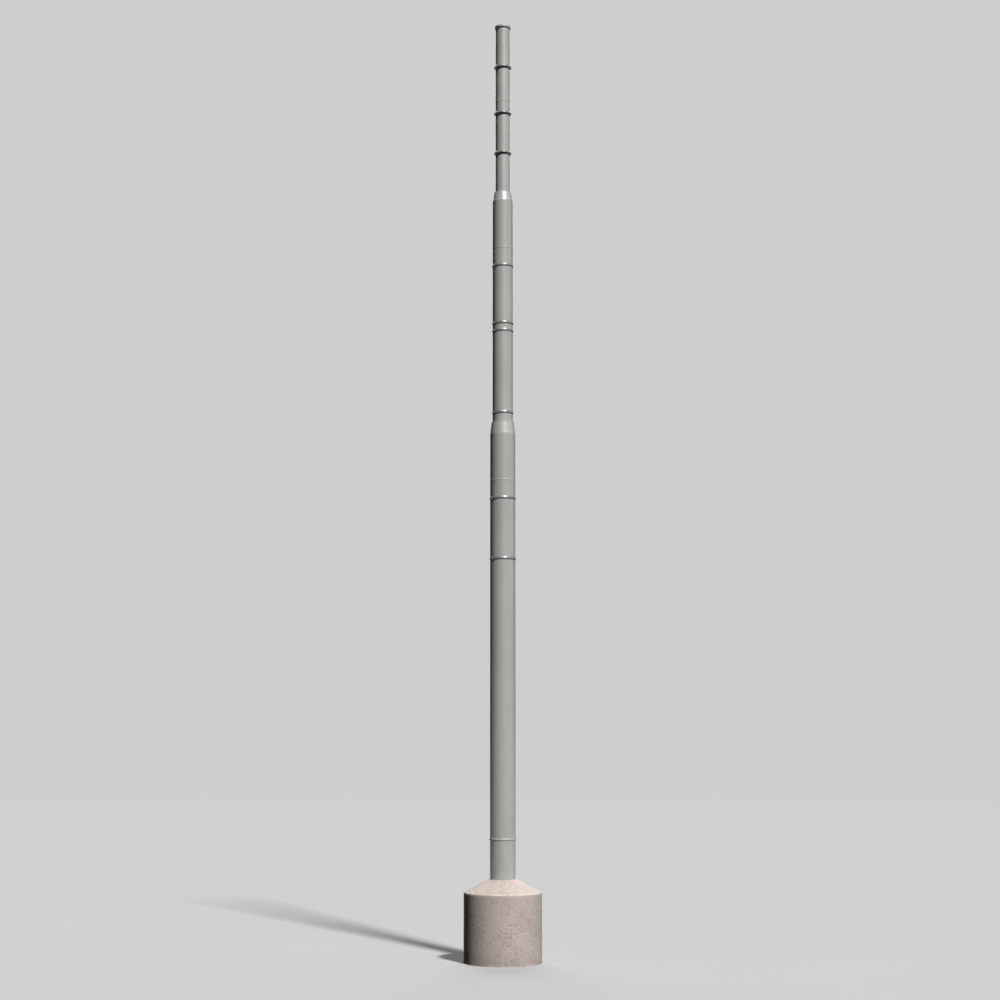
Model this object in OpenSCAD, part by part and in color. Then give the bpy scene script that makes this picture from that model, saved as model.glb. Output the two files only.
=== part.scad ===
// Stepped tubular signal pole on a round concrete collar.
// Millimetres, +Z up. The origin is on the pole's axis at ground level.

/* [Concrete collar] */
// Diameter of the collar
base_d = 665; // [560:5:820]
// Height of the upright side
base_side_h = 570; // [420:1:720]
// Height of the rim band above the side
base_band_h = 14; // [10:1:50]
// How far the rim band leans in
base_band_lean = 3; // [2:1:20]
// Height of the cone above the rim band
base_cone_h = 106; // [70:1:150]
// Width of the flat lip round the tube at the cone's top
base_lip_w = 15; // [6:1:30]
// Length of the soft rim on each side of the corner where the band meets the cone
base_rim = 5; // [2:1:9]

/* [Tube diameters and walls] */
// Outside diameter of the lower tube
lower_d = 219.1; // [180:0.1:270]
// Wall of the lower tube
lower_wall = 6.3; // [4:0.1:10]
// Outside diameter of the middle tube
middle_d = 177.8; // [145:0.1:178.5]
// Wall of the middle tube
middle_wall = 5.6; // [4:0.1:9]
// Outside diameter of the top tube
top_d = 127; // [100:0.1:144]
// Wall of the top tube
top_wall = 5; // [3:0.1:8]

/* [Section lengths] */
// Foot length, from the ground to the first weld
foot_len = 1026; // [800:1:1500]
// Lower tube, from the first weld to its upper seam
lower_len = 3080; // [2000:1:4000]
// End piece of the lower section, from the seam to the reducer
lower_end_len = 408; // [200:1:700]
// Length of the lower reducer
lower_reducer_len = 106; // [60:1:200]
// Middle tube, from the lower reducer to its seam
middle_len = 1568; // [1250:1:2200]
// End piece of the middle section, from the seam to the reducer
middle_end_len = 427; // [200:1:700]
// Length of the upper reducer
upper_reducer_len = 86; // [60:1:200]
// Top tube, from the upper reducer to its seam
top_len = 844; // [640:1:1200]
// End piece of the top section, from the seam to the cap
top_end_len = 682; // [500:1:1000]

/* [Stop rings] */
// Height of a ring, from its cut lower edge to where it fades out
ring_h = 22; // [12:1:40]
// Height of the upright band at a ring's lower edge
ring_band_h = 4; // [2:1:8]
// Thickness left at a ring's upper edge
ring_feather = 1; // [0.5:0.1:3]
// How far the lower section's rings stand out
lower_ring_proud = 6; // [3:0.5:20]
// How far the middle section's rings stand out
middle_ring_proud = 5.5; // [3:0.5:20]
// How far the top section's rings stand out
top_ring_proud = 15; // [5:0.5:25]

/* [Stop ring places] */
// Lower ring 1, below the lower seam
lower_ring_1_drop = 693; // [400:1:1500]
// Lower ring 2, below the lower seam
lower_ring_2_drop = 165; // [60:1:350]
// Middle ring 1, above the lower reducer
middle_ring_1_rise = 77; // [10:1:300]
// Middle ring 2, below the middle seam
middle_ring_2_drop = 758; // [730:1:850]
// Middle ring 3, below the middle seam
middle_ring_3_drop = 691; // [400:1:705]
// Middle ring 4, below the middle seam
middle_ring_4_drop = 171; // [60:1:350]
// Top ring 1, above the upper reducer
top_ring_1_rise = 356; // [40:1:480]
// Top ring 2, below the top seam
top_ring_2_drop = 120; // [40:1:130]
// Top ring 3, below the cap
top_ring_3_drop = 371; // [200:1:450]

/* [Weld beads] */
// Height of the foot weld bead
foot_bead_h = 18; // [10:1:30]
// How far the foot weld bead stands out
foot_bead_proud = 4.5; // [2:0.5:8]
// Height of the ground-down seam beads
seam_bead_h = 12; // [6:1:20]
// How far the seam beads stand out
seam_bead_proud = 1.5; // [1:0.1:4]

/* [Cap] */
// How far the cap's rim stands out past the top tube
cap_overhang = 8; // [4:0.5:20]
// Height of the cap's rim
cap_rim_h = 17; // [8:1:30]
// Rise of the cap's crown above its rim
cap_crown_h = 6; // [3:1:20]
// Depth of the spigot inside the tube
cap_spigot_h = 40; // [20:1:80]
// Wall of the spigot
cap_spigot_wall = 6; // [4:1:10]
// Gap between the spigot and the tube's wall
cap_spigot_gap = 0.3; // [0.1:0.1:1]

/* [Hidden] */
$fn = 96;
lower_r = lower_d / 2;
middle_r = middle_d / 2;
top_r = top_d / 2;
base_r = base_d / 2;
base_h = base_side_h + base_band_h + base_cone_h;
base_lip_r = lower_r + base_lip_w;

lower_seam_z = foot_len + lower_len;
lower_reducer_z = lower_seam_z + lower_end_len;
middle_z = lower_reducer_z + lower_reducer_len;
middle_seam_z = middle_z + middle_len;
upper_reducer_z = middle_seam_z + middle_end_len;
top_z = upper_reducer_z + upper_reducer_len;
top_seam_z = top_z + top_len;
cap_z = top_seam_z + top_end_len;

lower_ring_z = [lower_seam_z - lower_ring_1_drop, lower_seam_z - lower_ring_2_drop];
middle_ring_z = [middle_z + middle_ring_1_rise, middle_seam_z - middle_ring_2_drop,
                 middle_seam_z - middle_ring_3_drop, middle_seam_z - middle_ring_4_drop];
top_ring_z = [top_z + top_ring_1_rise, top_seam_z - top_ring_2_drop, cap_z - top_ring_3_drop];

steel = [0.60, 0.61, 0.59];
weld = [0.55, 0.56, 0.54];
concrete = [0.72, 0.66, 0.62];
curve_steps = 6;

// Points of a curve from a to b that is drawn towards the corner c.
function soft_corner(a, c, b) = [
    for (i = [0 : curve_steps])
        let (t = i / curve_steps)
        (1 - t) * (1 - t) * a + 2 * t * (1 - t) * c + t * t * b
];

// The round collar: straight side, leaning rim band, cone and lip, with the tube's bore through it.
module concrete_collar() {
    side_top = [base_r, base_side_h];
    corner = side_top + [-base_band_lean, base_band_h];
    lip = [base_lip_r, base_h];
    band = (side_top - corner) / norm(side_top - corner);
    slope = (lip - corner) / norm(lip - corner);
    rim = soft_corner(corner + base_rim * band, corner, corner + base_rim * slope);
    color(concrete)
        rotate_extrude()
            polygon(concat([[lower_r, 0], [base_r, 0], side_top], rim, [lip, [lower_r, base_h]]));
}

// One length of tube standing at height z.
module tube(z, len, r, wall) {
    color(steel)
        translate([0, 0, z])
            difference() {
                cylinder(h = len, r = r);
                translate([0, 0, -1]) cylinder(h = len + 2, r = r - wall);
            }
}

// A cone of pipe between two tubes, with its wall running from one wall to the other.
module reducer(z, len, r_low, wall_low, r_high, wall_high) {
    color(steel)
        translate([0, 0, z])
            rotate_extrude()
                polygon([[r_low - wall_low, 0], [r_low, 0],
                         [r_high, len], [r_high - wall_high, len]]);
}

// A stop ring: cut square below, with an upright band, and flared up onto the tube.
module stop_ring(z, r, proud) {
    band = [r + proud, ring_band_h];
    feather = [r + ring_feather, ring_h];
    flare = soft_corner(band, [r + ring_feather + proud / 4, ring_h / 2], feather);
    color(steel)
        translate([0, 0, z])
            rotate_extrude()
                polygon(concat([[r, 0], [r + proud, 0]], flare, [[r, ring_h]]));
}

// A weld bead centred on a joint: half round, standing out from the tube.
module weld_bead(z, r, bead_h, proud) {
    section = [
        for (i = [0 : 2 * curve_steps])
            let (a = -90 + 90 * i / curve_steps)
            [r + proud * cos(a), bead_h / 2 * sin(a)]
    ];
    color(weld)
        translate([0, 0, z])
            rotate_extrude()
                polygon(section);
}

// The cap: a rim that oversails the tube, a low crown and a spigot down inside.
module pole_cap() {
    rim_r = top_r + cap_overhang;
    spigot_r = top_r - top_wall - cap_spigot_gap;
    crown = soft_corner([rim_r, cap_rim_h], [rim_r / 2, cap_rim_h + cap_crown_h],
                        [0, cap_rim_h + cap_crown_h]);
    color(steel)
        translate([0, 0, cap_z])
            difference() {
                union() {
                    rotate_extrude() polygon(concat([[0, 0], [rim_r, 0]], crown));
                    translate([0, 0, -cap_spigot_h]) cylinder(h = cap_spigot_h, r = spigot_r);
                }
                translate([0, 0, -cap_spigot_h - 1])
                    cylinder(h = cap_spigot_h + 1, r = spigot_r - cap_spigot_wall);
            }
}

concrete_collar();

tube(0, foot_len, lower_r, lower_wall);  // foot_tube
weld_bead(foot_len, lower_r, foot_bead_h, foot_bead_proud);  // foot_weld_bead
tube(foot_len, lower_len, lower_r, lower_wall);  // lower_tube
stop_ring(lower_ring_z[0], lower_r, lower_ring_proud);  // lower_stop_ring_1
stop_ring(lower_ring_z[1], lower_r, lower_ring_proud);  // lower_stop_ring_2
weld_bead(lower_seam_z, lower_r, seam_bead_h, seam_bead_proud);  // lower_seam_bead
tube(lower_seam_z, lower_end_len, lower_r, lower_wall);  // lower_tube_end
reducer(lower_reducer_z, lower_reducer_len, lower_r, lower_wall, middle_r, middle_wall);  // lower_reducer

tube(middle_z, middle_len, middle_r, middle_wall);  // middle_tube
stop_ring(middle_ring_z[0], middle_r, middle_ring_proud);  // middle_stop_ring_1
stop_ring(middle_ring_z[1], middle_r, middle_ring_proud);  // middle_stop_ring_2
stop_ring(middle_ring_z[2], middle_r, middle_ring_proud);  // middle_stop_ring_3
stop_ring(middle_ring_z[3], middle_r, middle_ring_proud);  // middle_stop_ring_4
weld_bead(middle_seam_z, middle_r, seam_bead_h, seam_bead_proud);  // middle_seam_bead
tube(middle_seam_z, middle_end_len, middle_r, middle_wall);  // middle_tube_end
reducer(upper_reducer_z, upper_reducer_len, middle_r, middle_wall, top_r, top_wall);  // upper_reducer

tube(top_z, top_len, top_r, top_wall);  // top_tube
stop_ring(top_ring_z[0], top_r, top_ring_proud);  // top_stop_ring_1
stop_ring(top_ring_z[1], top_r, top_ring_proud);  // top_stop_ring_2
weld_bead(top_seam_z, top_r, seam_bead_h, seam_bead_proud);  // top_seam_bead
tube(top_seam_z, top_end_len, top_r, top_wall);  // top_tube_end
stop_ring(top_ring_z[2], top_r, top_ring_proud);  // top_stop_ring_3
pole_cap();
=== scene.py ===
"""A stepped tubular signal pole in a round concrete collar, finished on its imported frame."""

import math
import random
from collections import namedtuple

import bmesh
import bpy
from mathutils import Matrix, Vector, noise
from mathutils.geometry import interpolate_bezier


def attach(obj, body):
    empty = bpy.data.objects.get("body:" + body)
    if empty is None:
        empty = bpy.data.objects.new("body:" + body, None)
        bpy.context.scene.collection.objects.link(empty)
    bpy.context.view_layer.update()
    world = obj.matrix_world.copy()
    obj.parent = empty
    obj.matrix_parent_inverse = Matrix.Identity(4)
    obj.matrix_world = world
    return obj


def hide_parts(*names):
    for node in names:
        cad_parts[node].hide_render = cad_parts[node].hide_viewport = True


bl_info = {
    "name": "Signal pole finish",
    "version": (1, 0, 0),
    "blender": (4, 5, 0),
    "location": "View3D > Sidebar > Pole",
    "description": "Models and paints a signal pole and its concrete collar on the packed frame",
    "category": "Object",
}

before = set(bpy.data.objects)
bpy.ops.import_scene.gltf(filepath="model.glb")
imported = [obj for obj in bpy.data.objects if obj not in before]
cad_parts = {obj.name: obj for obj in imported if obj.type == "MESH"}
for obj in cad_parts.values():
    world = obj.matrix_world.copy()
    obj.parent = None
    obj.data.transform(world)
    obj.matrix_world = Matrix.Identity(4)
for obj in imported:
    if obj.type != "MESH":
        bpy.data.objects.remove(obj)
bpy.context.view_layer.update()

TUBES = (
    "foot_tube",
    "lower_tube",
    "lower_tube_end",
    "middle_tube",
    "middle_tube_end",
    "top_tube",
    "top_tube_end",
)
REDUCERS = ("lower_reducer", "upper_reducer")
FOOT_BEAD = "foot_weld_bead"
SEAM_BEADS = ("lower_seam_bead", "middle_seam_bead", "top_seam_bead")
STOP_RINGS = tuple(sorted(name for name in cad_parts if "stop_ring" in name))

# Each bead's own place in the noise that makes its ripples uneven
BEAD_PLACES = {FOOT_BEAD: 2, "lower_seam_bead": 1, "middle_seam_bead": 0, "top_seam_bead": 1}
# Depth of a ground-down seam's ripples as a share of the foot bead's
SEAM_SHARE = 0.25
# Half the widths of the collar's air holes, smallest first
PIT_HALF_WIDTHS = (0.0032, 0.0046, 0.0060)
# How far the painted highlight along the collar's corner reaches above and below the corner
CORNER_HIGHLIGHT_REACH = 0.007
# The collar's dark grains, coarsest first
GRIT = (
    {"Scale": 58.0, "Size": 0.40, "Share": -0.10, "Patches": 0.52, "Amount": 0.66},
    {"Scale": 96.0, "Size": 0.50, "Share": -0.16, "Patches": 0.75, "Amount": 0.45},
    {"Scale": 190.0, "Size": 0.45, "Share": 0.12, "Patches": 0.20, "Amount": 0.45},
)
# Radius of the studio floor, and where it starts and ends to fade into the backdrop
FLOOR_RADIUS = 60.0
FLOOR_FADE = (12.0, 56.0)
# Points this near to a surface count as on it
TOUCH = 1e-4

# Distances from the pole's axis, and heights
Reach = namedtuple("Reach", "inner outer low high")
# A stop ring's section: the heights of its widest part, and how far its foot is cut in. They are
# shares of its height and of how far it stands out
RingForm = namedtuple("RingForm", "widest_from widest_to cut_in")
FLARED_SKIRT = RingForm(0.10, 0.24, 0.12)
HALF_ROUND = RingForm(0.42, 0.48, 0.75)
# A ring that stands out by more than this share of its height is a flared skirt
SKIRT_FROM = 0.4


# ---------------------------------------------------------------- sizes read from the frame


def off_axis(point):
    """Distance of a point from the pole's axis."""
    return math.hypot(point.x, point.y)


def reach(node, low=-math.inf, high=math.inf):
    """How far a CAD node reaches from the axis and up, between two heights."""
    points = [v.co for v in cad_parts[node].data.vertices if low <= v.co.z <= high]
    radii = [off_axis(p) for p in points]
    heights = [p.z for p in points]
    return Reach(min(radii), max(radii), min(heights), max(heights))


def collar_corner_height():
    """Height of the collar's corner, where the leaning rim band meets the cone."""
    above_foot = 0.1
    lean = 0.0028  # a little less than the rim band leans in
    side = reach("concrete_collar").outer
    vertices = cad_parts["concrete_collar"].data.vertices
    return min(v.co.z for v in vertices if v.co.z > above_foot and off_axis(v.co) < side - lean)


# ---------------------------------------------------------------- mesh helpers


def turned(outline, steps):
    """A closed outline of (distance from axis, height) points, turned once round the axis."""
    bm = bmesh.new()
    corners = [bm.verts.new((r, 0, z)) for r, z in outline]
    for a, b in zip(corners, corners[1:] + corners[:1]):
        bm.edges.new((a, b))
    bmesh.ops.spin(
        bm,
        geom=bm.verts[:] + bm.edges[:],
        cent=(0, 0, 0),
        axis=(0, 0, 1),
        dvec=(0, 0, 0),
        angle=math.tau,
        steps=steps,
        use_merge=True,
        use_duplicate=False,
    )
    bmesh.ops.remove_doubles(bm, verts=bm.verts[:], dist=1e-6)
    bmesh.ops.recalc_face_normals(bm, faces=bm.faces[:])
    return bm


def round_rims(bm, width, segments=3, sharper_than=math.radians(30)):
    """Rounds every circular edge where two faces meet at more than an angle."""
    rims = [
        e
        for e in bm.edges
        if e.is_manifold
        and e.calc_face_angle() > sharper_than
        and abs(e.verts[0].co.z - e.verts[1].co.z) < 1e-6
    ]
    bmesh.ops.bevel(
        bm,
        geom=rims,
        offset=width,
        offset_type="OFFSET",
        segments=segments,
        profile=0.5,
        affect="EDGES",
        clamp_overlap=True,
        material=-1,
    )


def curve_points(start, start_handle, end_handle, end, count):
    """Points along a Bezier curve between two (distance, height) points."""
    knots = [Vector((r, z, 0)) for r, z in (start, start_handle, end_handle, end)]
    return [(p.x, p.y) for p in interpolate_bezier(*knots, count)]


def piece_name(node):
    """A CAD node's name as a piece's name."""
    return node.replace("_", " ").title().replace(" ", "")


def finish_piece(bm, name, node, material, crease=math.radians(35)):
    """Turns a bmesh into the object that stands for a CAD node and rides on the pole."""
    mesh = bpy.data.meshes.new(name)
    bm.to_mesh(mesh)
    bm.free()
    mesh.shade_smooth()
    mesh.set_sharp_from_angle(angle=crease)
    mesh.materials.append(material)
    piece = bpy.data.objects.new(name, mesh)
    bpy.context.scene.collection.objects.link(piece)
    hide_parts(node)
    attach(piece, "root")
    return piece


# ---------------------------------------------------------------- shader helpers


def add(tree, kind, inputs=None, **settings):
    """Adds a node. Inputs that are sockets are linked, and the others are set as constants."""
    made = tree.nodes.new(kind)
    for key, value in settings.items():
        setattr(made, key, value)
    for key, value in (inputs or {}).items():
        if isinstance(value, bpy.types.NodeSocket):
            tree.links.new(value, made.inputs[key])
        else:
            made.inputs[key].default_value = value
    return made


def rgba(colour):
    """Three numbers as the four that a colour socket takes. A socket is passed on as it is."""
    return colour if isinstance(colour, bpy.types.NodeSocket) else (*colour, 1.0)


def mix_colours(tree, mask, under, over):
    """Lays one colour over another through a mask, and returns the result's socket."""
    inputs = {0: mask, 6: rgba(under), 7: rgba(over)}
    return add(tree, "ShaderNodeMix", inputs, data_type="RGBA").outputs[2]


def stretch(tree, value, low, high, to_low=0.0, to_high=1.0):
    """Maps a value from one range to another, held at the ends."""
    limits = {"From Min": low, "From Max": high, "To Min": to_low, "To Max": to_high}
    return add(tree, "ShaderNodeMapRange", {"Value": value, **limits}).outputs["Result"]


def maths(tree, operation, a, b):
    """One step of arithmetic on two values."""
    return add(tree, "ShaderNodeMath", {0: a, 1: b}, operation=operation).outputs[0]


def times(tree, a, b):
    """The product of two values."""
    return maths(tree, "MULTIPLY", a, b)


def on_piece(tree):
    """Where a point lies on the pole, measured from its foot on the ground."""
    return tree.nodes.new("ShaderNodeTexCoord").outputs["Object"]


def clouds(tree, place, scale, detail):
    """Soft noise, as the node that makes it."""
    return add(tree, "ShaderNodeTexNoise", {"Vector": place, "Scale": scale, "Detail": detail})


def effect(name, inputs, output, output_type="NodeSocketFloat"):
    """An empty shader group with float inputs and one output: (tree, input node, output node)."""
    tree = bpy.data.node_groups.new(name, "ShaderNodeTree")
    for label, default in inputs.items():
        socket = tree.interface.new_socket(label, in_out="INPUT", socket_type="NodeSocketFloat")
        socket.default_value = default
    tree.interface.new_socket(output, in_out="OUTPUT", socket_type=output_type)
    return tree, tree.nodes.new("NodeGroupInput"), tree.nodes.new("NodeGroupOutput")


def use(tree, group, **values):
    """Places an effect group in a material with its own values, and returns its output."""
    made = add(tree, "ShaderNodeGroup", node_tree=group)
    for key, value in values.items():
        made.inputs[key.replace("_", " ")].default_value = value
    return made.outputs[0]


def mottle_group():
    """Soft cloudy variation between two values."""
    name = "Mottle"
    if name in bpy.data.node_groups:
        return bpy.data.node_groups[name]
    tree, given, out = effect(name, {"Scale": 5.0, "Detail": 3.0, "Low": 0.0, "High": 1.0}, "Value")
    values = given.outputs
    cloud = clouds(tree, on_piece(tree), values["Scale"], values["Detail"])
    value = stretch(tree, cloud.outputs["Fac"], 0.32, 0.68, values["Low"], values["High"])
    tree.links.new(value, out.inputs["Value"])
    return tree


def grain_group():
    """Fine unevenness of a surface, as a normal."""
    name = "Fine grain"
    if name in bpy.data.node_groups:
        return bpy.data.node_groups[name]
    defaults = {"Scale": 400.0, "Strength": 0.2, "Depth": 0.001}
    tree, given, out = effect(name, defaults, "Normal", "NodeSocketVector")
    values = given.outputs
    bumps = clouds(tree, on_piece(tree), values["Scale"], 4.0)
    inputs = {
        "Strength": values["Strength"],
        "Distance": values["Depth"],
        "Height": bumps.outputs["Fac"],
    }
    bump = add(tree, "ShaderNodeBump", inputs)
    tree.links.new(bump.outputs["Normal"], out.inputs["Normal"])
    return tree


def streak_group():
    """Streaks that run down or across the surface, as a mask."""
    name = "Rain streaks"
    if name in bpy.data.node_groups:
        return bpy.data.node_groups[name]
    tree, given, out = effect(name, {"Across": 40.0, "Along": 1.2, "Amount": 0.5}, "Mask")
    values = given.outputs
    axes = {0: values["Across"], 1: values["Across"], 2: values["Along"]}
    scale = add(tree, "ShaderNodeCombineXYZ", axes)
    inputs = {0: on_piece(tree), 1: scale.outputs[0]}
    drawn = add(tree, "ShaderNodeVectorMath", inputs, operation="MULTIPLY")
    lines = clouds(tree, drawn.outputs[0], 1.0, 3.0)
    mask = stretch(tree, lines.outputs["Fac"], 0.52, 0.72)
    tree.links.new(times(tree, mask, values["Amount"]), out.inputs["Mask"])
    return tree


def splash_group():
    """Dirt splashed up from the ground, as a mask that fades with height."""
    name = "Ground splash"
    if name in bpy.data.node_groups:
        return bpy.data.node_groups[name]
    tree, given, out = effect(name, {"Height": 0.3, "Amount": 0.5}, "Mask")
    values = given.outputs
    place = on_piece(tree)
    height = add(tree, "ShaderNodeSeparateXYZ", {0: place}).outputs["Z"]
    fade = stretch(tree, height, 0.0, values["Height"], 1.0, 0.0)
    drops = clouds(tree, place, 18.0, 5.0)
    patchy = stretch(tree, drops.outputs["Fac"], 0.35, 0.65)
    mask = times(tree, times(tree, fade, patchy), values["Amount"])
    tree.links.new(mask, out.inputs["Mask"])
    return tree


def speck_group():
    """Scattered specks of one size, as a mask."""
    name = "Specks"
    if name in bpy.data.node_groups:
        return bpy.data.node_groups[name]
    defaults = {"Scale": 60.0, "Size": 0.3, "Share": 0.5, "Patches": 0.5, "Amount": 1.0}
    tree, given, out = effect(name, defaults, "Mask")
    values = given.outputs
    solid_share = 0.6  # share of a speck's radius that covers fully
    bend = (0.007,) * 3  # how far a speck's outline is bent
    place = on_piece(tree)
    warp = clouds(tree, place, 90.0, 2.0)
    inputs = {0: warp.outputs["Color"], 1: bend, 2: place}
    moved = add(tree, "ShaderNodeVectorMath", inputs, operation="MULTIPLY_ADD")
    inputs = {"Vector": moved.outputs[0], "Scale": values["Scale"]}
    cells = add(tree, "ShaderNodeTexVoronoi", inputs)
    solid = times(tree, values["Size"], solid_share)
    spot = stretch(tree, cells.outputs["Distance"], solid, values["Size"], 1.0, 0.0)
    clump = clouds(tree, place, 6.5, 2.0)
    spread = stretch(tree, clump.outputs["Fac"], 0.36, 0.64, 0.0, values["Patches"])
    limit = maths(tree, "ADD", values["Share"], spread)
    picked = add(tree, "ShaderNodeSeparateColor", {0: cells.outputs["Color"]})
    kept = maths(tree, "LESS_THAN", picked.outputs[0], limit)
    mask = times(tree, times(tree, spot, kept), values["Amount"])
    tree.links.new(mask, out.inputs["Mask"])
    return tree


def new_material(name):
    """A node material with a Principled shader: (material, tree, shader)."""
    material = bpy.data.materials.new(name)
    material.use_nodes = True
    tree = material.node_tree
    return material, tree, tree.nodes["Principled BSDF"]


def wire(tree, shader, **sources):
    """Links sources into the shader's sockets."""
    for key, value in sources.items():
        tree.links.new(value, shader.inputs[key.replace("_", " ")])


def pole_paint():
    """Light grey satin paint: cloudy gloss, faint rain streaks, splash on the foot."""
    name = "Grey pole paint"
    if name in bpy.data.materials:
        return bpy.data.materials[name]
    look = bpy.context.scene.pole_paint
    material, tree, shader = new_material(name)
    shader.inputs["Specular IOR Level"].default_value = look.shine
    shader.inputs["Coat Weight"].default_value = look.coat
    shader.inputs["Coat Roughness"].default_value = look.coat_gloss
    tone = use(tree, mottle_group(), Scale=2.6, Detail=4.0, Low=0.0, High=1.0)
    colour = mix_colours(tree, tone, look.dark, look.light)
    streaks = use(tree, streak_group(), Across=55.0, Along=0.9, Amount=0.20)
    colour = mix_colours(tree, streaks, colour, look.grime)
    splash = use(tree, splash_group(), Height=1.8, Amount=0.5)
    colour = mix_colours(tree, splash, colour, look.grime)
    limits = {"Low": look.gloss_low, "High": look.gloss_high}
    broad = use(tree, mottle_group(), Scale=3.4, Detail=3.0, **limits)
    fine = use(tree, mottle_group(), Scale=38.0, Detail=2.0, Low=-0.03, High=0.03)
    gloss = maths(tree, "ADD", broad, fine)
    normal = use(tree, grain_group(), Scale=34.0, Strength=0.22, Depth=0.003)
    wire(tree, shader, Base_Color=colour, Roughness=gloss, Normal=normal)
    return material


def weld_paint():
    """The same paint over a weld, without the clear coat and rougher."""
    name = "Painted weld"
    if name in bpy.data.materials:
        return bpy.data.materials[name]
    look = bpy.context.scene.pole_paint
    material, tree, shader = new_material(name)
    shader.inputs["Specular IOR Level"].default_value = look.shine
    tone = use(tree, mottle_group(), Scale=40.0, Detail=4.0, Low=0.0, High=1.0)
    colour = mix_colours(tree, tone, look.dark, look.light)
    gloss = use(tree, mottle_group(), Scale=60.0, Detail=3.0, Low=0.36, High=0.5)
    normal = use(tree, grain_group(), Scale=220.0, Strength=0.35, Depth=0.0012)
    wire(tree, shader, Base_Color=colour, Roughness=gloss, Normal=normal)
    return material


def ring_steel():
    """Hard dark gloss on the stop rings, with a tight highlight."""
    name = "Ring steel"
    if name in bpy.data.materials:
        return bpy.data.materials[name]
    look = bpy.context.scene.pole_paint
    material, tree, shader = new_material(name)
    shader.inputs["Specular IOR Level"].default_value = look.shine
    shader.inputs["Metallic"].default_value = look.ring_metal
    tone = use(tree, mottle_group(), Scale=24.0, Detail=4.0, Low=0.0, High=0.5)
    colour = mix_colours(tree, tone, look.ring, look.grime)
    gloss = use(tree, mottle_group(), Scale=30.0, Detail=3.0, Low=0.32, High=0.44)
    normal = use(tree, grain_group(), Scale=300.0, Strength=0.1, Depth=0.0006)
    wire(tree, shader, Base_Color=colour, Roughness=gloss, Normal=normal)
    return material


def corner_highlight(tree, height, corner):
    """Patchy painted highlight along the collar's corner, where its rounded edge catches the light,
    as a mask.
    """
    above = stretch(tree, height, corner - CORNER_HIGHLIGHT_REACH, corner - 0.001)
    below = stretch(tree, height, corner + 0.002, corner + CORNER_HIGHLIGHT_REACH, 1.0, 0.0)
    patchy_highlight = use(tree, mottle_group(), Scale=26.0, Detail=3.0, Low=0.1, High=0.6)
    return times(tree, times(tree, above, below), patchy_highlight)


def cast_concrete():
    """Pinkish beige cast concrete with dark grit, pale grains, stains and a rough skin, with
    painted glints on the cone and a painted highlight along the corner.
    """
    name = "Cast concrete"
    if name in bpy.data.materials:
        return bpy.data.materials[name]
    look = bpy.context.scene.pole_collar
    material, tree, shader = new_material(name)
    shader.inputs["Specular IOR Level"].default_value = 0.25
    cloud = use(tree, mottle_group(), Scale=4.5, Detail=5.0, Low=0.0, High=1.0)
    colour = mix_colours(tree, cloud, look.shade, look.colour)
    fine = use(tree, mottle_group(), Scale=70.0, Detail=4.0, Low=0.0, High=0.35)
    colour = mix_colours(tree, fine, colour, look.shade)
    height = add(tree, "ShaderNodeSeparateXYZ", {0: on_piece(tree)}).outputs["Z"]
    corner = collar_corner_height()
    # Pale grains are drawn at 0.35 strength on the side and at full strength on the cone. The extra
    # on the cone is painted glints where it faces the light.
    cone_glint_weight = stretch(tree, height, corner, corner + 0.01, 0.35, 1.0)
    pale = use(tree, speck_group(), Scale=52.0, Size=0.46, Share=0.04, Patches=0.50, Amount=0.62)
    colour = mix_colours(tree, times(tree, pale, cone_glint_weight), colour, look.pale_grain_and_highlight)
    for grain in GRIT:
        colour = mix_colours(tree, use(tree, speck_group(), **grain), colour, look.grit)
    drags = use(tree, streak_group(), Across=3.5, Along=75.0, Amount=0.30)
    colour = mix_colours(tree, drags, colour, look.shade)
    # The corner is lightened with the pale grain colour: a painted highlight where the rounded edge
    # catches the light.
    colour = mix_colours(tree, corner_highlight(tree, height, corner), colour, look.pale_grain_and_highlight)
    streaks = use(tree, streak_group(), Across=14.0, Along=1.6, Amount=0.25)
    colour = mix_colours(tree, streaks, colour, look.shade)
    splash = use(tree, splash_group(), Height=0.12, Amount=0.4)
    colour = mix_colours(tree, splash, colour, look.grit)
    rough = use(tree, mottle_group(), Scale=30.0, Detail=3.0, Low=0.78, High=0.95)
    normal = use(tree, grain_group(), Scale=150.0, Strength=0.5, Depth=0.003)
    wire(tree, shader, Base_Color=colour, Roughness=rough, Normal=normal)
    return material


def studio_floor():
    """Plain pale matt floor that fades away with distance."""
    material, tree, shader = new_material("Studio floor")
    tone = bpy.context.scene.pole_studio.floor_tone
    shade = use(tree, mottle_group(), Scale=0.5, Detail=2.0, Low=0.0, High=1.0)
    colour = mix_colours(tree, shade, (0.985 * tone,) * 3, (tone,) * 3)
    shader.inputs["Roughness"].default_value = 0.9
    shader.inputs["Specular IOR Level"].default_value = 0.0
    away = add(tree, "ShaderNodeVectorMath", {0: on_piece(tree)}, operation="LENGTH")
    fade = stretch(tree, away.outputs["Value"], *FLOOR_FADE, 1.0, 0.0)
    wire(tree, shader, Base_Color=colour, Alpha=fade)
    return material


# ---------------------------------------------------------------- what a user can change


def colour_property(name, description, default):
    """A linear colour with its own default."""
    return bpy.props.FloatVectorProperty(
        name=name,
        description=description,
        default=default,
        subtype="COLOR",
        size=3,
        min=0.0,
        max=1.0,
    )


def length_property(name, description, default):
    """A length in metres."""
    return bpy.props.FloatProperty(
        name=name, description=description, default=default, unit="LENGTH", min=0.0, precision=4
    )


def share_property(name, description, default):
    """A value from nothing to all."""
    return bpy.props.FloatProperty(
        name=name, description=description, default=default, subtype="FACTOR", min=0.0, max=1.0
    )


def strength_property(name, description, default):
    """The strength of a light."""
    return bpy.props.FloatProperty(name=name, description=description, default=default, min=0.0)


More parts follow.
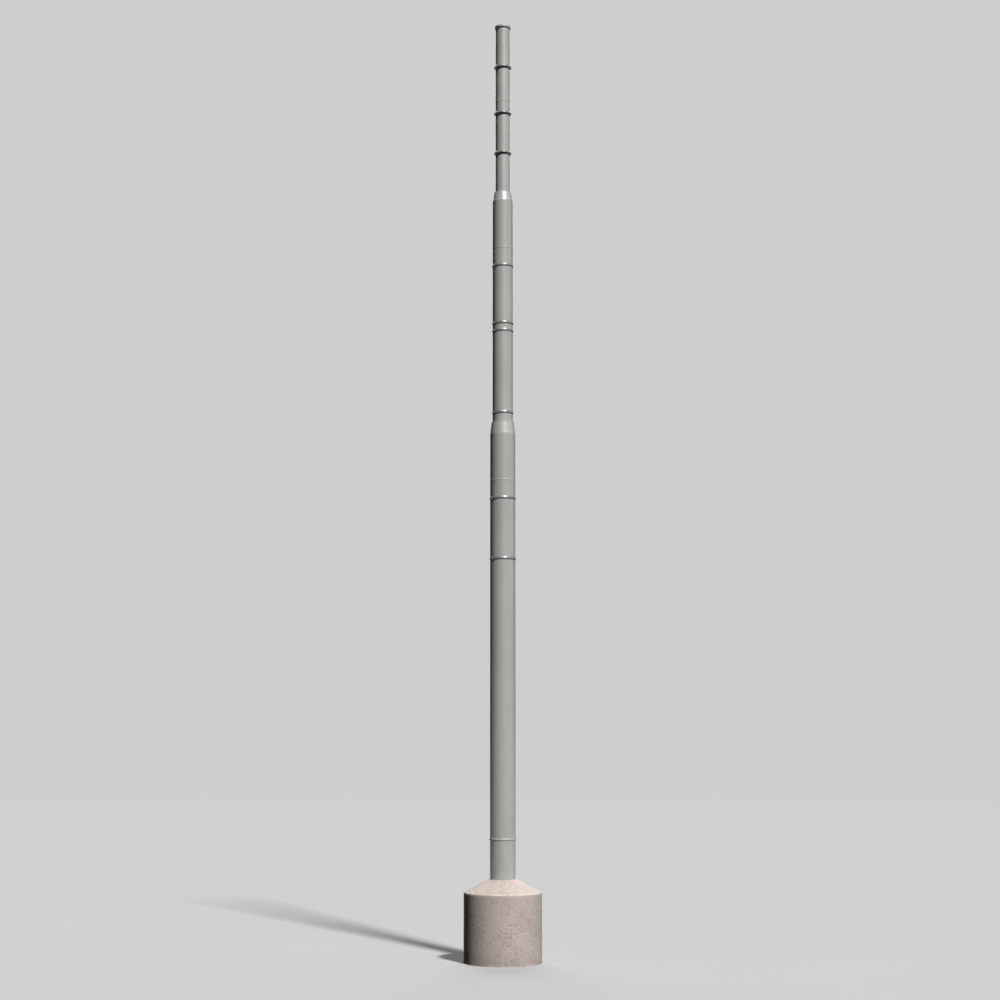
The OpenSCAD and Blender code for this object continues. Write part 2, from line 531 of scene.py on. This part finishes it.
class PolePaint(bpy.types.PropertyGroup):
    """Colour and gloss of the painted steel."""

    light: colour_property("Light", "Paint where it is clean", (0.428, 0.432, 0.407))
    dark: colour_property("Dark", "Paint where it has dulled", (0.390, 0.393, 0.369))
    grime: colour_property("Grime", "Dirt that rain leaves", (0.250, 0.245, 0.220))
    ring: colour_property("Rings", "Steel of the stop rings", (0.300, 0.305, 0.290))
    ring_metal: share_property("Ring metal", "How metallic the stop rings look", 0.4)
    coat: share_property("Clear coat", "Strength of the clear top coat", 1.0)
    coat_gloss: share_property("Coat roughness", "Roughness of the clear top coat", 0.40)
    gloss_low: share_property("Gloss, shiniest", "Roughness of the shiniest paint", 0.40)
    gloss_high: share_property("Gloss, dullest", "Roughness of the dullest paint", 0.52)
    shine: share_property("Shine", "Strength of the paint's reflections", 1.0)


class PoleShape(bpy.types.PropertyGroup):
    """Roundness of the steel pieces."""

    steps: bpy.props.IntProperty(
        name="Steps", description="Facets round the pole", default=128, min=32, max=512
    )
    end_round: length_property("End rounding", "Rounding at the tubes' ends", 0.0008)
    rim_round: length_property("Rim rounding", "Rounding of the rings' and cap's edges", 0.0015)
    ripple_pitch: length_property("Ripple pitch", "Distance between a weld bead's ripples", 0.006)
    ripple_depth: length_property("Ripple depth", "Depth of the foot bead's ripples", 0.0008)


class PoleCollar(bpy.types.PropertyGroup):
    """Shape and colours of the concrete collar."""

    cell: length_property("Cell", "Size of the collar's mesh cells", 0.013)
    wobble: length_property("Wobble", "How far the cast face strays inwards", 0.0015)
    pit_depth: length_property("Pit depth", "Depth of the air holes in the cast face", 0.007)
    pit_count: bpy.props.IntProperty(
        name="Pits", description="Air holes of each size", default=90, min=0, max=400
    )
    colour: colour_property("Colour", "Clean concrete", (0.560, 0.472, 0.428))
    shade: colour_property("Shade", "Darker clouds in the concrete", (0.478, 0.404, 0.364))
    grit: colour_property("Grit", "Dark grains", (0.150, 0.125, 0.110))
    # Colour of the pale grains, also used for the painted glints on the cone and the painted
    # highlight along the corner.
    pale_grain_and_highlight: colour_property("Pale grain", "Pale grains", (0.820, 0.750, 0.690))


class PoleStudio(bpy.types.PropertyGroup):
    """Camera, light and floor."""

    lens: bpy.props.FloatProperty(
        name="Lens", description="Focal length in millimetres", default=65.6, min=20, max=200
    )
    distance: length_property("Distance", "Camera to the pole's axis, level", 15.76)
    eye: length_property("Eye height", "Camera above the ground", 1.863)
    side: length_property("Side step", "Camera to the left of the pole's axis", 0.024)
    tilt: bpy.props.FloatProperty(
        name="Tilt",
        description="Camera's upward tilt",
        default=math.radians(7.5),
        subtype="ANGLE",
        min=-1.5,
        max=1.5,
    )
    key: strength_property("Key", "Strength of the key light", 4.6)
    side_light: strength_property("Side", "Strength of the weaker light on the right", 0.16)
    back_light: strength_property("Back", "Strength of the soft light behind", 1.7)
    fill: strength_property("Fill", "Light from all round", 0.016)
    backdrop: share_property("Backdrop", "Brightness of the backdrop", 0.62)
    floor_tone: share_property("Floor", "Paleness of the floor", 0.43)


# ---------------------------------------------------------------- pieces


def make_tube(node):
    """One length of tube with its real wall and softened ends."""
    shape = bpy.context.scene.pole_shape
    r = reach(node)
    near = 3 * shape.end_round  # rows here keep the ends' rounding out of the long faces' shading
    heights = [r.low, r.low + near, r.high - near, r.high]
    outline = [(r.inner, z) for z in reversed(heights)] + [(r.outer, z) for z in heights]
    bm = turned(outline, shape.steps)
    round_rims(bm, shape.end_round, segments=2)
    finish_piece(bm, piece_name(node), node, pole_paint())


class POLE_OT_tubes(bpy.types.Operator):
    """Model the seven lengths of tube"""

    bl_idname = "pole.tubes"
    bl_label = "Tubes"

    def execute(self, context):
        for node in TUBES:
            make_tube(node)
        return {"FINISHED"}


class POLE_OT_reducers(bpy.types.Operator):
    """Model the two cones of pipe, with a soft shoulder and throat"""

    bl_idname = "pole.reducers"
    bl_label = "Reducers"

    def execute(self, context):
        shape = context.scene.pole_shape
        for node in REDUCERS:
            r = reach(node)
            tall = r.high - r.low
            wide = reach(node, high=r.low + tall / 2)
            narrow = reach(node, low=r.low + tall / 2)
            step = wide.outer - narrow.outer

            def at(inwards, upwards):
                """A point of the section, in shares of the step inwards and of the height."""
                return (wide.outer - inwards * step, r.low + upwards * tall)

            shoulder = curve_points(at(0, 0.02), at(0, 0.08), at(0.12, 0.12), at(0.22, 0.2), 8)
            throat = curve_points(at(0.84, 0.85), at(0.94, 0.92), at(1, 0.94), at(1, 0.98), 8)
            outer = [at(0, 0)] + shoulder + throat + [at(1, 1)]
            inner = [(narrow.inner, r.high), (wide.inner, r.low)]
            bm = turned(outer + inner, shape.steps)
            finish_piece(bm, piece_name(node), node, pole_paint())
        return {"FINISHED"}


class POLE_OT_stop_rings(bpy.types.Operator):
    """Model the stop rings: thin half-round rings low down, and flared skirts on the top tube"""

    bl_idname = "pole.stop_rings"
    bl_label = "Stop rings"

    def execute(self, context):
        shape = context.scene.pole_shape
        for node in STOP_RINGS:
            r = reach(node)
            tall = r.high - r.low
            proud = r.outer - r.inner
            bore = r.inner - shape.rim_round
            form = FLARED_SKIRT if proud > SKIRT_FROM * tall else HALF_ROUND
            above = (1 - form.widest_to) * tall

            def at(inwards, z):
                """A point of the section, inwards in shares of how far the ring stands out."""
                return (r.outer - inwards * proud, z)

            lower = curve_points(
                at(form.cut_in, r.low),
                at(0.04, r.low),
                at(0, r.low + 0.4 * form.widest_from * tall),
                at(0, r.low + form.widest_from * tall),
                7,
            )
            flare = curve_points(
                at(0, r.high - above),
                at(0.05, r.high - 0.7 * above),
                at(0.8, r.high - 0.35 * above),
                at(1, r.high),
                12,
            )
            outline = [(bore, r.low)] + lower + flare + [(bore, r.high)]
            bm = turned(outline, shape.steps)
            finish_piece(bm, piece_name(node), node, ring_steel())
        return {"FINISHED"}


def make_bead(node, ripple_depth):
    """A weld bead: half round and rippled, with its bore sunk into the tube."""
    shape = bpy.context.scene.pole_shape
    r = reach(node)
    middle = (r.low + r.high) / 2
    half = (r.high - r.low) / 2
    proud = r.outer - r.inner
    bore = r.inner - shape.rim_round
    arc = [math.radians(a) for a in range(-90, 91, 15)]
    outline = [(r.inner + proud * math.cos(a), middle + half * math.sin(a)) for a in arc]
    outline += [(bore, r.high), (bore, r.low)]
    ripples = round(math.tau * r.outer / shape.ripple_pitch)
    swept_back = 0.02  # angle by which a ripple's middle runs ahead of its ends
    lumps = 30  # how finely the unevenness varies round the pole
    bm = turned(outline, 4 * ripples)
    for v in bm.verts:
        height_share = (v.co.z - middle) / half
        out = off_axis(v.co) - r.inner
        if out <= 0:
            continue
        angle = math.atan2(v.co.y, v.co.x)
        wave = math.cos(ripples * (angle - swept_back * (1 - height_share**2)))
        place = (lumps * math.cos(angle), lumps * math.sin(angle), BEAD_PLACES[node])
        uneven = abs(noise.noise(Vector(place)))
        sink = ripple_depth * (0.5 - 0.5 * wave + 0.4 * uneven) * out / proud
        v.co.xy *= (off_axis(v.co) - sink) / off_axis(v.co)
    finish_piece(bm, piece_name(node), node, weld_paint(), crease=math.radians(70))


class POLE_OT_weld_beads(bpy.types.Operator):
    """Model the foot's weld bead and the three ground-down seams"""

    bl_idname = "pole.weld_beads"
    bl_label = "Weld beads"

    def execute(self, context):
        depth = context.scene.pole_shape.ripple_depth
        make_bead(FOOT_BEAD, depth)
        for node in SEAM_BEADS:
            make_bead(node, SEAM_SHARE * depth)
        return {"FINISHED"}


class POLE_OT_cap(bpy.types.Operator):
    """Model the cap: spigot, overhanging rim and low crown"""

    bl_idname = "pole.cap"
    bl_label = "Cap"

    def execute(self, context):
        shape = context.scene.pole_shape
        r = reach("pole_cap")
        seat = reach("top_tube_end").high
        spigot = reach("pole_cap", high=r.low + 0.001)
        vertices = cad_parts["pole_cap"].data.vertices
        rim_top = max(v.co.z for v in vertices if off_axis(v.co) > r.outer - TOUCH)
        crown = curve_points(
            (r.outer, rim_top),
            (0.97 * r.outer, rim_top + 0.6 * (r.high - rim_top)),
            (0.55 * r.outer, r.high),
            (0.0, r.high),
            24,
        )
        outline = [
            (0.0, seat),
            (spigot.inner, seat),
            (spigot.inner, r.low),
            (spigot.outer, r.low),
            (spigot.outer, seat),
            (r.outer, seat),
        ]
        bm = turned(outline + crown, shape.steps)
        round_rims(bm, 1.5 * shape.rim_round)
        finish_piece(bm, "PoleCap", "pole_cap", pole_paint())
        return {"FINISHED"}


def collar_outline(cell):
    """The collar's section, with its long sides cut into short steps."""
    r = reach("concrete_collar")
    clear_of_bore = r.inner + 0.002
    corners = {
        (round(off_axis(v.co), 4), round(v.co.z, 4))
        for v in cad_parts["concrete_collar"].data.vertices
        if off_axis(v.co) > clear_of_bore
    }
    corners = sorted(corners, key=lambda corner: (corner[1], -corner[0]))
    outline = [(r.inner, 0.0)]
    for start, end in zip(corners, corners[1:]):
        count = max(1, round(math.dist(start, end) / cell))
        outline += [tuple(Vector(start).lerp(Vector(end), i / count)) for i in range(count)]
    return outline + [corners[-1], (r.inner, r.high)]


def spread_out(candidates, count, apart, chance):
    """Picks vertices at random that lie at least a distance apart."""
    chosen = []
    chance.shuffle(candidates)
    for v in candidates:
        if all((v.co - other.co).length > apart for other in chosen):
            chosen.append(v)
        if len(chosen) == count:
            break
    return chosen


def dig_pits(bm, spots, half_width, depth):
    """Opens a round air hole at each vertex."""
    made = bmesh.ops.bevel(
        bm,
        geom=spots,
        offset=half_width,
        offset_type="OFFSET",
        segments=2,
        profile=0.5,
        affect="VERTICES",
        clamp_overlap=True,
        material=-1,
    )
    floors = made["faces"]
    for share in (0.6, 0.4):  # two steps down, the deeper one first
        bmesh.ops.inset_region(
            bm,
            faces=floors,
            thickness=0.16 * half_width,
            depth=-share * depth,
            use_even_offset=True,
            use_boundary=True,
        )


class POLE_OT_collar(bpy.types.Operator):
    """Model the concrete collar: uneven cast faces, soft rim and air holes"""

    bl_idname = "pole.collar"
    bl_label = "Concrete collar"

    def execute(self, context):
        look = context.scene.pole_collar
        chance = random.Random(7)
        r = reach("concrete_collar")
        bm = turned(collar_outline(look.cell), round(math.tau * r.outer / look.cell))
        skin = [v for v in bm.verts if v.co.z > TOUCH and off_axis(v.co) > r.inner + 10 * TOUCH]
        for v in skin:
            stray = 0.5 + 0.5 * noise.fractal(v.co * 7, 0.6, 2.0, 3)  # broad waves, three octaves
            v.co -= v.normal * look.wobble * max(0.0, stray)
        margin = 2 * look.cell
        apart = 2.4 * look.cell
        shortest = 0.63 * look.cell  # edges under this would be crowded by an air hole
        for half_width in PIT_HALF_WIDTHS:
            open_face = [
                v
                for v in bm.verts
                if v.co.z > margin
                and off_axis(v.co) > r.inner + margin
                and len(v.link_edges) == 4
                and all(e.calc_length() > shortest for e in v.link_edges)
            ]
            spots = spread_out(open_face, look.pit_count, apart, chance)
            dig_pits(bm, spots, half_width, look.pit_depth * half_width / PIT_HALF_WIDTHS[-1])
        bmesh.ops.recalc_face_normals(bm, faces=bm.faces[:])
        finish_piece(bm, "ConcreteCollar", "concrete_collar", cast_concrete())
        return {"FINISHED"}


# ---------------------------------------------------------------- stage


def add_sun(name, energy, angle, azimuth, elevation):
    """A sun lamp that shines from an elevation and an azimuth, to the right of the camera."""
    data = bpy.data.lights.new(name, "SUN")
    data.energy = energy
    data.angle = angle
    lamp = bpy.data.objects.new(name, data)
    level = math.cos(elevation)
    towards = Vector((math.sin(azimuth) * level, -math.cos(azimuth) * level, math.sin(elevation)))
    lamp.rotation_mode = "QUATERNION"
    lamp.rotation_quaternion = towards.to_track_quat("Z", "Y")
    bpy.context.scene.collection.objects.link(lamp)


def light_the_room(studio):
    """A pale backdrop that lights the pole only faintly, so the key light shapes it."""
    world = bpy.data.worlds.new("Studio")
    world.use_nodes = True
    tree = world.node_tree
    tree.nodes.clear()
    seen = add(tree, "ShaderNodeBackground", {"Color": rgba((studio.backdrop,) * 3)})
    lit = add(tree, "ShaderNodeBackground", {"Color": rgba((studio.fill,) * 3)})
    rays = tree.nodes.new("ShaderNodeLightPath")
    inputs = {0: rays.outputs["Is Camera Ray"], 1: lit.outputs[0], 2: seen.outputs[0]}
    choice = add(tree, "ShaderNodeMixShader", inputs)
    add(tree, "ShaderNodeOutputWorld", {"Surface": choice.outputs[0]})
    bpy.context.scene.world = world


class POLE_OT_stage(bpy.types.Operator):
    """Set up the floor, the lights and the camera"""

    bl_idname = "pole.stage"
    bl_label = "Studio"

    def execute(self, context):
        studio = context.scene.pole_studio
        bm = bmesh.new()
        bmesh.ops.create_circle(bm, cap_ends=True, radius=FLOOR_RADIUS, segments=96)
        mesh = bpy.data.meshes.new("StudioFloor")
        bm.to_mesh(mesh)
        bm.free()
        mesh.materials.append(studio_floor())
        floor = bpy.data.objects.new("StudioFloor", mesh)
        floor.visible_diffuse = False
        context.scene.collection.objects.link(floor)

        for name, strength, width, azimuth, elevation in (
            ("Key", studio.key, 6, 28, 50),
            ("Side", studio.side_light, 30, 88, 18),
            ("Back", studio.back_light, 50, 182, 38),
        ):
            add_sun(name, strength, *map(math.radians, (width, azimuth, elevation)))
        light_the_room(studio)

        lens = bpy.data.cameras.new("Camera")
        lens.lens = studio.lens
        camera = bpy.data.objects.new("Camera", lens)
        camera.location = (-studio.side, -studio.distance, studio.eye)
        camera.rotation_euler = (math.pi / 2 + studio.tilt, 0.0, 0.0)
        context.scene.collection.objects.link(camera)
        context.scene.camera = camera
        context.scene.view_settings.view_transform = "Standard"
        return {"FINISHED"}


class POLE_PT_panel(bpy.types.Panel):
    """Buttons for each group of pieces, and their sizes and colours"""

    bl_label = "Signal pole"
    bl_space_type = "VIEW_3D"
    bl_region_type = "UI"
    bl_category = "Pole"

    def draw(self, context):
        for operator in OPERATORS:
            self.layout.operator(operator.bl_idname)
        for group in GROUPS:
            box = self.layout.box()
            values = getattr(context.scene, group)
            for key in values.bl_rna.properties.keys():
                if key not in {"rna_type", "name"}:
                    box.prop(values, key)


OPERATORS = (
    POLE_OT_stage,
    POLE_OT_collar,
    POLE_OT_tubes,
    POLE_OT_reducers,
    POLE_OT_stop_rings,
    POLE_OT_weld_beads,
    POLE_OT_cap,
)
GROUPS = {
    "pole_paint": PolePaint,
    "pole_shape": PoleShape,
    "pole_collar": PoleCollar,
    "pole_studio": PoleStudio,
}


def register():
    """Adds the settings, the buttons and the panel."""
    for group, kind in GROUPS.items():
        bpy.utils.register_class(kind)
        setattr(bpy.types.Scene, group, bpy.props.PointerProperty(type=kind))
    for operator in OPERATORS:
        bpy.utils.register_class(operator)
    bpy.utils.register_class(POLE_PT_panel)


def unregister():
    """Takes away the panel, the buttons and the settings."""
    bpy.utils.unregister_class(POLE_PT_panel)
    for operator in reversed(OPERATORS):
        bpy.utils.unregister_class(operator)
    for group, kind in GROUPS.items():
        delattr(bpy.types.Scene, group)
        bpy.utils.unregister_class(kind)


def main():
    """Registers the add-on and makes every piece."""
    register()
    bpy.ops.pole.stage()
    bpy.ops.pole.collar()
    bpy.ops.pole.tubes()
    bpy.ops.pole.reducers()
    bpy.ops.pole.stop_rings()
    bpy.ops.pole.weld_beads()
    bpy.ops.pole.cap()


if __name__ == "__main__":
    main()
